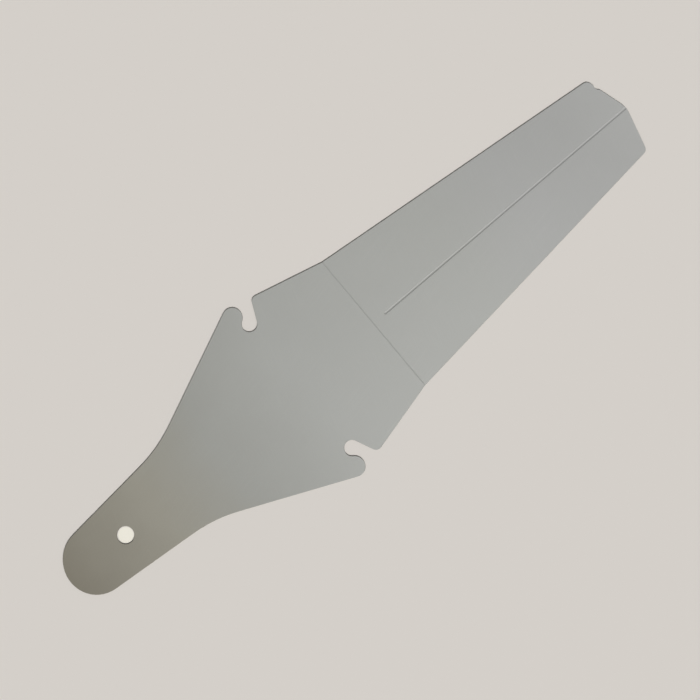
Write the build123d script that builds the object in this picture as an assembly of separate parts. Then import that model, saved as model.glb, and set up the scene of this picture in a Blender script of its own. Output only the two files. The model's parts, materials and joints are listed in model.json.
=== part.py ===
from build123d import *
from math import acos, degrees, sqrt
import os

# Bicycle mudguard: one flat sheet of polypropylene, die-cut and creased, that clips onto the two
# rails of a saddle. Millimetres and degrees.
# Stations are measured along the sheet's long axis from the tip of the tongue.

# Sheet
overall_length = 344.4  # tip of the tongue to the point of the tail
overall_width = 100.9  # across the two hook tips
sheet_thickness = 0.8
edge_round = 0.12  # roll-over that the cutting die leaves round the upper face

# Tongue
tongue_end_radius = 16.5
neck_station = 73.8  # where the tongue's sides and the wings' leading edges would meet
neck_half_width = 21.4
neck_radius = 75.0
hang_hole_station = 35.4
hang_hole_diameter = 8.6

# Hooks and rail notches
hook_station = 141.6  # centre of the round hook tips
hook_radius = 4.9
rail_diameter = 7.0
rail_clearance = 0.3  # all round the rail in its seat
mouth_grip = 0.9  # how much narrower the mouth is than the rail
mouth_angle = 65.0  # rear side of the mouth, to the long axis
shoulder_inset = 3.35  # from the hook tip's reach in to the corner behind the mouth
shoulder_radius = 2.8

# Tail
cross_crease_station = 191.4  # where the wings end and the tail begins
cross_crease_half_width = 37.7
tail_end_half_width = 21.2  # at the two corners of the tail's end
tail_corner_radius = 3.0
tail_point_height = 5.4  # from those corners out to the tail's point
tail_point_radius = 12.0
nick_from_corner = 5.4  # worn dent in the tail's end, along it from the +Y corner
nick_radius = 2.4
nick_depth = 0.7

# Creases, pressed into the upper face by a round-nosed rule
cross_crease_width = 0.6
cross_crease_depth = 0.07
long_crease_width = 1.2
long_crease_depth = 0.2
long_crease_gap = 7.4  # from the cross crease to the start of the long one


def rail_notch():
    """Centres of the hook tip and the rail's seat, and the line of the mouth's rear side, on the +Y wing.

    The hook tip and the seat are circles that touch. The mouth's rear side is tangent to the seat
    and lies one mouth width from the hook tip.
    """
    seat_radius = rail_diameter / 2 + rail_clearance
    mouth_width = rail_diameter - mouth_grip
    outward = Vector(1, 0, 0).rotate(Axis.Z, mouth_angle)
    rearward = outward.rotate(Axis.Z, -90)
    hook_centre = Vector(hook_station, overall_width / 2 - hook_radius)
    between_centres = hook_radius + seat_radius
    across_mouth = mouth_width + hook_radius - seat_radius
    into_sheet = sqrt(between_centres**2 - across_mouth**2)
    seat_centre = hook_centre + rearward * across_mouth - outward * into_sheet
    mouth_foot = seat_centre + rearward * seat_radius
    shoulder_half_width = overall_width / 2 - shoulder_inset
    shoulder = mouth_foot + outward * ((shoulder_half_width - mouth_foot.Y) / outward.Y)
    return hook_centre, seat_centre, mouth_foot, shoulder


def touch_point(corner, centre, radius, turn):
    """Where a straight edge from a corner touches a round end: turn is 1 to pass it on the left, or -1."""
    to_corner = corner - centre
    swing = degrees(acos(radius / to_corner.length))
    return centre + to_corner.normalized().rotate(Axis.Z, turn * swing) * radius


def tail_end():
    """The straight end of the tail on the +Y side: its corner, and where the rounding of the point starts."""
    corner = Vector(overall_length - tail_point_height, tail_end_half_width)
    point_centre = Vector(overall_length - tail_point_radius, 0)
    return corner, touch_point(corner, point_centre, tail_point_radius, -1)


def half_outline():
    """The sheet's edge on the +Y side, from the tip of the tongue to the point of the tail."""
    hook_centre, seat_centre, mouth_foot, shoulder = rail_notch()
    tail_corner, point_start = tail_end()
    hook_meets_seat = hook_centre + (seat_centre - hook_centre).normalized() * hook_radius
    neck = Vector(neck_station, neck_half_width)
    crease_end = Vector(cross_crease_station, cross_crease_half_width)
    tongue_side = touch_point(neck, Vector(tongue_end_radius, 0), tongue_end_radius, 1)
    hook_start = touch_point(neck, hook_centre, hook_radius, -1)

    tongue_end = TangentArc((0, 0), tongue_side, tangent=(0, 1))
    neck_edge = FilletPolyline(tongue_side, neck, hook_start, radius=neck_radius)
    hook_tip = TangentArc(hook_start, hook_meets_seat, tangent=neck_edge % 1)
    rail_seat = TangentArc(hook_meets_seat, mouth_foot, tangent=hook_tip % 1)
    tail_edge = FilletPolyline(
        mouth_foot,
        shoulder,
        crease_end,
        tail_corner,
        point_start,
        radius=[shoulder_radius, 0, tail_corner_radius],
    )
    tail_point = TangentArc(point_start, (overall_length, 0), tangent=tail_edge % 1)
    return Curve() + [tongue_end, neck_edge, hook_tip, rail_seat, tail_edge, tail_point]


def tail_nick():
    """The disc that a worn dent bites out of the tail's end."""
    corner, point_start = tail_end()
    along = (point_start - corner).normalized()
    outward = along.rotate(Axis.Z, 90)
    centre = corner + along * nick_from_corner + outward * (nick_radius - nick_depth)
    return Pos(centre) * Circle(nick_radius)


def crease_rule(start, direction, length, width, depth):
    """The nose of a creasing rule, which presses a channel of this width and depth, rounded at its ends."""
    nose_radius = (width**2 / 4 + depth**2) / (2 * depth)
    nose = Plane(
        origin=start + Vector(0, 0, sheet_thickness - depth + nose_radius),
        z_dir=direction,
    )
    return nose * (extrude(Circle(nose_radius), length) + Sphere(nose_radius))


def mudguard_sheet():
    half = half_outline()
    outline = make_face(half.edges() + mirror(half, about=Plane.XZ).edges())
    hang_hole = Pos(hang_hole_station, 0) * Circle(hang_hole_diameter / 2)
    sheet = extrude(outline - hang_hole - tail_nick(), sheet_thickness)
    sheet = fillet(sheet.faces().sort_by(Axis.Z)[-1].edges(), edge_round)
    cross_crease = crease_rule(
        Vector(cross_crease_station, -overall_width),
        Vector(0, 1, 0),
        2 * overall_width,
        cross_crease_width,
        cross_crease_depth,
    )
    long_crease = crease_rule(
        Vector(cross_crease_station + long_crease_gap, 0),
        Vector(1, 0, 0),
        overall_length,
        long_crease_width,
        long_crease_depth,
    )
    sheet = sheet - cross_crease - long_crease
    return Pos(-overall_length / 2, 0) * sheet


os.makedirs("parts", exist_ok=True)
export_step(mudguard_sheet(), "parts/mudguard_sheet.step")
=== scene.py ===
import bpy
import json
import math
from mathutils import Matrix, Vector


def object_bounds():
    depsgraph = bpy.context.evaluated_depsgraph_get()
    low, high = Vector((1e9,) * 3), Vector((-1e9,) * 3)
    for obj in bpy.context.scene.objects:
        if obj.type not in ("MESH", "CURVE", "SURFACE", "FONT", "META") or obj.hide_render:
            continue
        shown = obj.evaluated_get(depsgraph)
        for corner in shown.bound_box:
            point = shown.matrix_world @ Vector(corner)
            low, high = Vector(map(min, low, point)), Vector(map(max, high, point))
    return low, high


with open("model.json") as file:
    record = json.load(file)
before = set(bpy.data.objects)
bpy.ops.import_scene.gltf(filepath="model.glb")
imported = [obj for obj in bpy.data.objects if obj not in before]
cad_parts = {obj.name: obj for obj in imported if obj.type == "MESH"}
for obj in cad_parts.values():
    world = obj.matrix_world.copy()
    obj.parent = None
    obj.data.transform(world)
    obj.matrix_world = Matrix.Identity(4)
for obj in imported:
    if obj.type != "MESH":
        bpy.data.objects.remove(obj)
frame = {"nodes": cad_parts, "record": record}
cad_low, cad_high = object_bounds()

# Metres and degrees. In the frame's axes +X runs from the tongue to the tail and +Z out of the creased face.
SHEET_LENGTH = cad_high.x - cad_low.x
SHEET_TOP = cad_high.z
HANG_HOLE = next(mount for mount in frame["record"]["mounts"] if mount["name"] == "hang_hole")
UP = Vector((0.0, 0.0, 1.0))

# Finish of the sheet: how wide its spots and marks are, and how high its grain and waves stand
CLOUD_SIZE = 0.033
GRAIN_SIZE = 0.00025
GRAIN_HEIGHT = 0.000012
WAVE_SIZE = 0.07
WAVE_HEIGHT = 0.0003
# Scuffs: their turn from +X, length and width
LONG_SCUFFS = (12.0, 0.03, 0.0002)
SHORT_SCUFFS = (74.0, 0.02, 0.00015)
# The levels of a noise, which goes up to 0.5, between which a scuff sets in
SCUFF_ONSET = (0.2, 0.3)
# How far a surface lies below the upper face, or above the floor, where it takes all its painted shade and
# its dirt's roughness
SHADE_AND_DIRT_DEPTH = 0.00009
# How much a surface faces up where it is all cut edge, and where it is no longer part of it
CUT_EDGE_FACING = (0.3, 0.75)

# What clouds, grain, scuffs, and painted shade in the creases and on the cut edge do to the sheet's grey, as
# shares of it
CLOUD_TONE = 0.05
GRAIN_TONE = 0.12
SCUFF_TONE = 0.06
CREASE_SHADE_TONE = -0.12
CUT_EDGE_SHADE_TONE = -0.45
# How far the clouds shift the greys along the sheet, as a share of its length
CLOUD_SHIFT = 0.06
# The satin's roughness, and what clouds and marks add to it
SATIN_ROUGHNESS = 0.305
CLOUD_ROUGHNESS = 0.04
SCUFF_ROUGHNESS = -0.02
DIRT_ROUGHNESS = 0.13
POLYPROPYLENE_IOR = 1.5

# Colours, linear
TAIL_END_PAINTED_LIGHT_GREY = (0.387, 0.39, 0.378)
TAIL_PAINTED_LIGHT_GREY = (0.357, 0.359, 0.348)
BODY_GREY = (0.353, 0.358, 0.337)
NECK_PAINTED_SHADE_GREY = (0.305, 0.308, 0.284)
TONGUE_PAINTED_SHADE_GREY = (0.291, 0.278, 0.231)
TIP_PAINTED_SHADE_GREY = (0.203, 0.187, 0.147)
PAPER = (0.731, 0.693, 0.649)
PAPER_AT_HOLE = (0.925, 0.89, 0.785)
BACKDROP = (0.658, 0.624, 0.584)
# Painted shade makes the tongue darker and warmer, fading into the sheet's own grey, and painted light makes
# the tail's end a little paler, at these shares of the sheet's length from the tip of the tongue
GREY_AND_PAINTED_LIGHT_ALONG = (
    (0.0, TIP_PAINTED_SHADE_GREY),
    (0.16, TONGUE_PAINTED_SHADE_GREY),
    (0.285, NECK_PAINTED_SHADE_GREY),
    (0.43, BODY_GREY),
    (0.7, BODY_GREY),
    (0.82, TAIL_PAINTED_LIGHT_GREY),
    (0.91, TAIL_PAINTED_LIGHT_GREY),
    (1.0, TAIL_END_PAINTED_LIGHT_GREY),
)

# Paper: a wide floor, with a pale spot where it shows through the hang hole
PAPER_SIZE = 20.0
PAPER_ROUGHNESS = 0.9
PAPER_SHINE = 0.1
PALE_SPOT_RADIUS = 0.0036
PALE_SPOT_FADE = 0.0006

# Camera: it looks down on the sheet, whose tail points to the upper right of the picture
TAIL_TURN = 40.1
CAMERA_LEAN = 8.9
CAMERA_LEANS_TO = -3.3
CAMERA_DISTANCE = 0.9367
CAMERA_TARGET = Vector((0.0027, -0.00235, SHEET_TOP))
CAMERA_LENS = 102.86
CAMERA_SENSOR = 36.0

# Key lamp: its angle in the picture from the right-hand side, height above the floor, spread and strength
KEY_SIDE = -58.0
KEY_HEIGHT = 53.0
KEY_SPREAD = 6.0
KEY_STRENGTH = 2.75
# Panel that stands for the key lamp in the sheet's gloss
KEY_PANEL_DISTANCE = 1.5
KEY_PANEL_SIZE = (1.0, 1.0)
KEY_PANEL_POWER = 17.5
# Panel overhead: its height over the camera's target, how far it is moved right and up in the picture, and
# how far its long side is turned from the picture's right-hand side
SHEEN_PANEL_HEIGHT = 1.2
SHEEN_PANEL_RIGHT = -0.038
SHEEN_PANEL_UP = -0.002
SHEEN_PANEL_TURN = 34.3
SHEEN_PANEL_SIZE = (0.45, 0.03)
SHEEN_PANEL_POWER = 1.59
# Even light from all round
ROOM_LIGHT = 0.2


class Value:
    """A socket's value in a node tree: each operator on it adds a Math node."""

    def __init__(self, shading, socket):
        self.shading = shading
        self.socket = socket

    def __add__(self, other):
        return self.shading.math("ADD", self, other)

    def __radd__(self, other):
        return self.shading.math("ADD", other, self)

    def __sub__(self, other):
        return self.shading.math("SUBTRACT", self, other)

    def __rsub__(self, other):
        return self.shading.math("SUBTRACT", other, self)

    def __mul__(self, other):
        return self.shading.math("MULTIPLY", self, other)

    def __rmul__(self, other):
        return self.shading.math("MULTIPLY", other, self)

    def __abs__(self):
        return self.shading.math("ABSOLUTE", self)

    def rise(self, low, high):
        """Goes from 0 to 1 as the value goes from low to high."""
        sockets = {"Value": self, "From Min": low, "From Max": high}
        return self.shading.node("ShaderNodeMapRange", {}, sockets)


class Shading:
    """The node tree of a material or of the room."""

    def __init__(self, owner):
        owner.use_nodes = True
        self.nodes = owner.node_tree.nodes
        self.links = owner.node_tree.links

    def set(self, node, sockets):
        """Sets or links a node's sockets, by name or number."""
        for name, value in sockets.items():
            if isinstance(value, Value):
                self.links.new(value.socket, node.inputs[name])
            else:
                node.inputs[name].default_value = value

    def node(self, kind, settings=None, sockets=None, output=0):
        """Adds a node with its settings and then its sockets, and gives one of its outputs."""
        node = self.nodes.new(kind)
        for name, value in (settings or {}).items():
            if name == "stops":
                self.set_stops(node.color_ramp.elements, value)
            else:
                setattr(node, name, value)
        self.set(node, sockets or {})
        return Value(self, node.outputs[output])

    def set_stops(self, elements, stops):
        while len(elements) < len(stops):
            elements.new(1.0)
        for element, (position, colour) in zip(elements, stops):
            element.position = position
            element.color = (*colour, 1.0)

    def math(self, operation, *terms):
        return self.node("ShaderNodeMath", {"operation": operation}, dict(enumerate(terms)))

    def axes(self, vector, names):
        return [self.node("ShaderNodeSeparateXYZ", {}, {"Vector": vector}, name) for name in names]

    def noise(self, place, size, detail):
        """Soft spots about this wide, from -0.5 to 0.5."""
        sockets = {"Vector": place, "Scale": 1 / size, "Detail": detail}
        return self.node("ShaderNodeTexNoise", {}, sockets) - 0.5

    def hairlines(self, place, turn, length, width):
        """Sparse thin lines that run at an angle to +X."""
        rotation = (0.0, 0.0, math.radians(turn))
        sockets = {"Vector": place, "Rotation": rotation, "Scale": (length, width, 1.0)}
        stretched = self.node("ShaderNodeMapping", {"vector_type": "TEXTURE"}, sockets)
        return self.noise(stretched, size=1.0, detail=0.0).rise(*SCUFF_ONSET)

    def mix(self, share, first, second, blend="MIX"):
        """Mixes two colours, or blends the second over the first."""
        pair = (first, second)
        first, second = [(*colour, 1.0) if isinstance(colour, tuple) else colour for colour in pair]
        settings = {"data_type": "RGBA", "blend_type": blend}
        # The node's colours are its inputs 6 and 7 and its output 2
        return self.node("ShaderNodeMix", settings, {0: share, 6: first, 7: second}, 2)

    def bump(self, height, distance, under=None):
        sockets = {"Height": height, "Distance": distance}
        if under:
            sockets["Normal"] = under
        return self.node("ShaderNodeBump", {}, sockets)


def picture_direction(angle):
    """A level direction, by its angle in the picture from the right-hand side, in the frame's axes."""
    turned = math.radians(angle - TAIL_TURN)
    return Vector((math.cos(turned), math.sin(turned), 0.0))


def raised_direction(angle, height):
    """A direction above picture_direction(angle) by this many degrees."""
    raised = math.radians(height)
    return picture_direction(angle) * math.cos(raised) + UP * math.sin(raised)


def aim(thing, place, target, up):
    """Links a camera or lamp into the scene at a place, looking at a target."""
    bpy.context.collection.objects.link(thing)
    back = (place - target).normalized()
    right = up.cross(back).normalized()
    turn = Matrix((right, back.cross(right), back)).transposed()
    thing.matrix_world = Matrix.Translation(place) @ turn.to_4x4()


def grey_polypropylene():
    """Satin grey sheet: a fine matt grain, slight waves and faint scuffs, with painted shade on the tongue,
    in the creases and on the dull cut edges, and painted light at the tail's end.
    """
    material = bpy.data.materials.new("grey_polypropylene")
    shading = Shading(material)
    place = shading.node("ShaderNodeTexCoord", output="Object")
    x, z = shading.axes(place, "XZ")
    clouds = shading.noise(place, CLOUD_SIZE, detail=3.0)
    grain = shading.noise(place, GRAIN_SIZE, detail=1.0)
    waves = shading.noise(place, WAVE_SIZE, detail=0.0)
    scuffs = shading.hairlines(place, *LONG_SCUFFS) + shading.hairlines(place, *SHORT_SCUFFS)

    # The creases, the rolled edge and the cut edge lie below the upper face: painted shade darkens them
    # there, and their roughness rises
    sunk = 1.0 - z.rise(SHEET_TOP - SHADE_AND_DIRT_DEPTH, SHEET_TOP)
    painted_shade_and_dirt = sunk * z.rise(0.0, SHADE_AND_DIRT_DEPTH)
    # The cut edge is steeper than the sides of the creases
    [facing_up] = shading.axes(shading.node("ShaderNodeTexCoord", output="Normal"), "Z")
    # Painted shade darkens the cut edge all round
    cut_edge = 1.0 - abs(facing_up).rise(*CUT_EDGE_FACING)

    along = (x - cad_low.x) * (1 / SHEET_LENGTH) + clouds * CLOUD_SHIFT
    # The greys along the sheet hold painted shade on the tongue and painted light at the tail's end
    grey = shading.node("ShaderNodeValToRGB", {"stops": GREY_AND_PAINTED_LIGHT_ALONG}, {0: along})
    # Scuffs lighten the grey; painted shade darkens the sunk parts and the cut edge
    marks_and_painted_shade = scuffs * SCUFF_TONE + painted_shade_and_dirt * CREASE_SHADE_TONE + cut_edge * CUT_EDGE_SHADE_TONE
    tone = 1.0 + clouds * CLOUD_TONE + grain * GRAIN_TONE + marks_and_painted_shade
    grey = shading.mix(1.0, grey, tone, "MULTIPLY")

    roughness = SATIN_ROUGHNESS + clouds * CLOUD_ROUGHNESS + scuffs * SCUFF_ROUGHNESS + painted_shade_and_dirt * DIRT_ROUGHNESS
    normal = shading.bump(grain, GRAIN_HEIGHT, shading.bump(waves, WAVE_HEIGHT))
    sockets = {"Base Color": grey, "Roughness": roughness, "Normal": normal, "IOR": POLYPROPYLENE_IOR}
    shading.set(shading.nodes["Principled BSDF"], sockets)
    return material


def pale_paper():
    """Plain pale paper, paler where it shows through the hang hole."""
    material = bpy.data.materials.new("pale_paper")
    shading = Shading(material)
    place = shading.node("ShaderNodeTexCoord", output="Object")
    below_hole = (*HANG_HOLE["pos_m"][:2], 0.0)
    ends = {0: place, 1: below_hole}
    from_hole = shading.node("ShaderNodeVectorMath", {"operation": "DISTANCE"}, ends, "Value")
    past_spot = from_hole.rise(PALE_SPOT_RADIUS, PALE_SPOT_RADIUS + PALE_SPOT_FADE)
    colour = shading.mix(past_spot, PAPER_AT_HOLE, PAPER)
    sockets = {"Base Color": colour, "Roughness": PAPER_ROUGHNESS, "Specular IOR Level": PAPER_SHINE}
    shading.set(shading.nodes["Principled BSDF"], sockets)
    return material


def lay_paper():
    half = PAPER_SIZE / 2
    corners = [(-half, -half, 0.0), (half, -half, 0.0), (half, half, 0.0), (-half, half, 0.0)]
    mesh = bpy.data.meshes.new("paper_floor")
    mesh.from_pydata(corners, [], [(0, 1, 2, 3)])
    mesh.materials.append(pale_paper())
    floor = bpy.data.objects.new("paper_floor", mesh)
    bpy.context.collection.objects.link(floor)


def set_camera():
    data = bpy.data.cameras.new("camera")
    data.sensor_width = CAMERA_SENSOR
    data.lens = CAMERA_LENS
    camera = bpy.data.objects.new("camera", data)
    place = CAMERA_TARGET + raised_direction(CAMERA_LEANS_TO, 90.0 - CAMERA_LEAN) * CAMERA_DISTANCE
    aim(camera, place, CAMERA_TARGET, picture_direction(90.0))
    bpy.context.scene.camera = camera


def add_gloss_panel(name, size, power, place, target, up):
    """A panel that lights no matt surface and shows only as sheen on the sheet."""
    data = bpy.data.lights.new(name, "AREA")
    data.shape = "RECTANGLE"
    data.size, data.size_y = size
    data.energy = power
    panel = bpy.data.objects.new(name, data)
    aim(panel, place, target, up)
    panel.visible_diffuse = False


def set_key_lamp():
    """A lamp on the picture's lower right, which the sheet's gloss shows as a wide soft panel."""
    data = bpy.data.lights.new("key_lamp", "SUN")
    data.energy = KEY_STRENGTH
    data.angle = math.radians(KEY_SPREAD)
    key = bpy.data.objects.new("key_lamp", data)
    to_key = raised_direction(KEY_SIDE, KEY_HEIGHT)
    aim(key, CAMERA_TARGET + to_key, CAMERA_TARGET, UP)
    key.visible_glossy = False
    place = CAMERA_TARGET + to_key * KEY_PANEL_DISTANCE
    add_gloss_panel("key_panel", KEY_PANEL_SIZE, KEY_PANEL_POWER, place, CAMERA_TARGET, UP)


def set_sheen_panel():
    """A long panel overhead, for the sheet's satin sheen."""
    aside = picture_direction(0.0) * SHEEN_PANEL_RIGHT + picture_direction(90.0) * SHEEN_PANEL_UP
    below = CAMERA_TARGET + aside
    above = below + UP * SHEEN_PANEL_HEIGHT
    across = picture_direction(90.0 + SHEEN_PANEL_TURN)
    add_gloss_panel("sheen_panel", SHEEN_PANEL_SIZE, SHEEN_PANEL_POWER, above, below, across)


def set_room():
    """Even light from all round, in front of a backdrop of the paper's colour."""
    world = bpy.data.worlds.new("room")
    shading = Shading(world)
    background = shading.nodes["Background"]
    shading.set(background, {"Color": (ROOM_LIGHT, ROOM_LIGHT, ROOM_LIGHT, 1.0)})
    even_light = Value(shading, background.outputs[0])
    backdrop = shading.node("ShaderNodeBackground", {}, {"Color": (*BACKDROP, 1.0)})
    camera_ray = shading.node("ShaderNodeLightPath", output="Is Camera Ray")
    glossy_ray = shading.node("ShaderNodeLightPath", output="Is Glossy Ray")
    seen = shading.math("MAXIMUM", camera_ray, glossy_ray)
    room = shading.node("ShaderNodeMixShader", {}, {0: seen, 1: even_light, 2: backdrop})
    shading.set(shading.nodes["World Output"], {"Surface": room})
    bpy.context.scene.world = world


finish = grey_polypropylene()
for slot in frame["nodes"]["mudguard_sheet"].material_slots:
    slot.material = finish
lay_paper()
set_camera()
set_key_lamp()
set_sheen_panel()
set_room()
bpy.context.scene.view_settings.view_transform = "Standard"
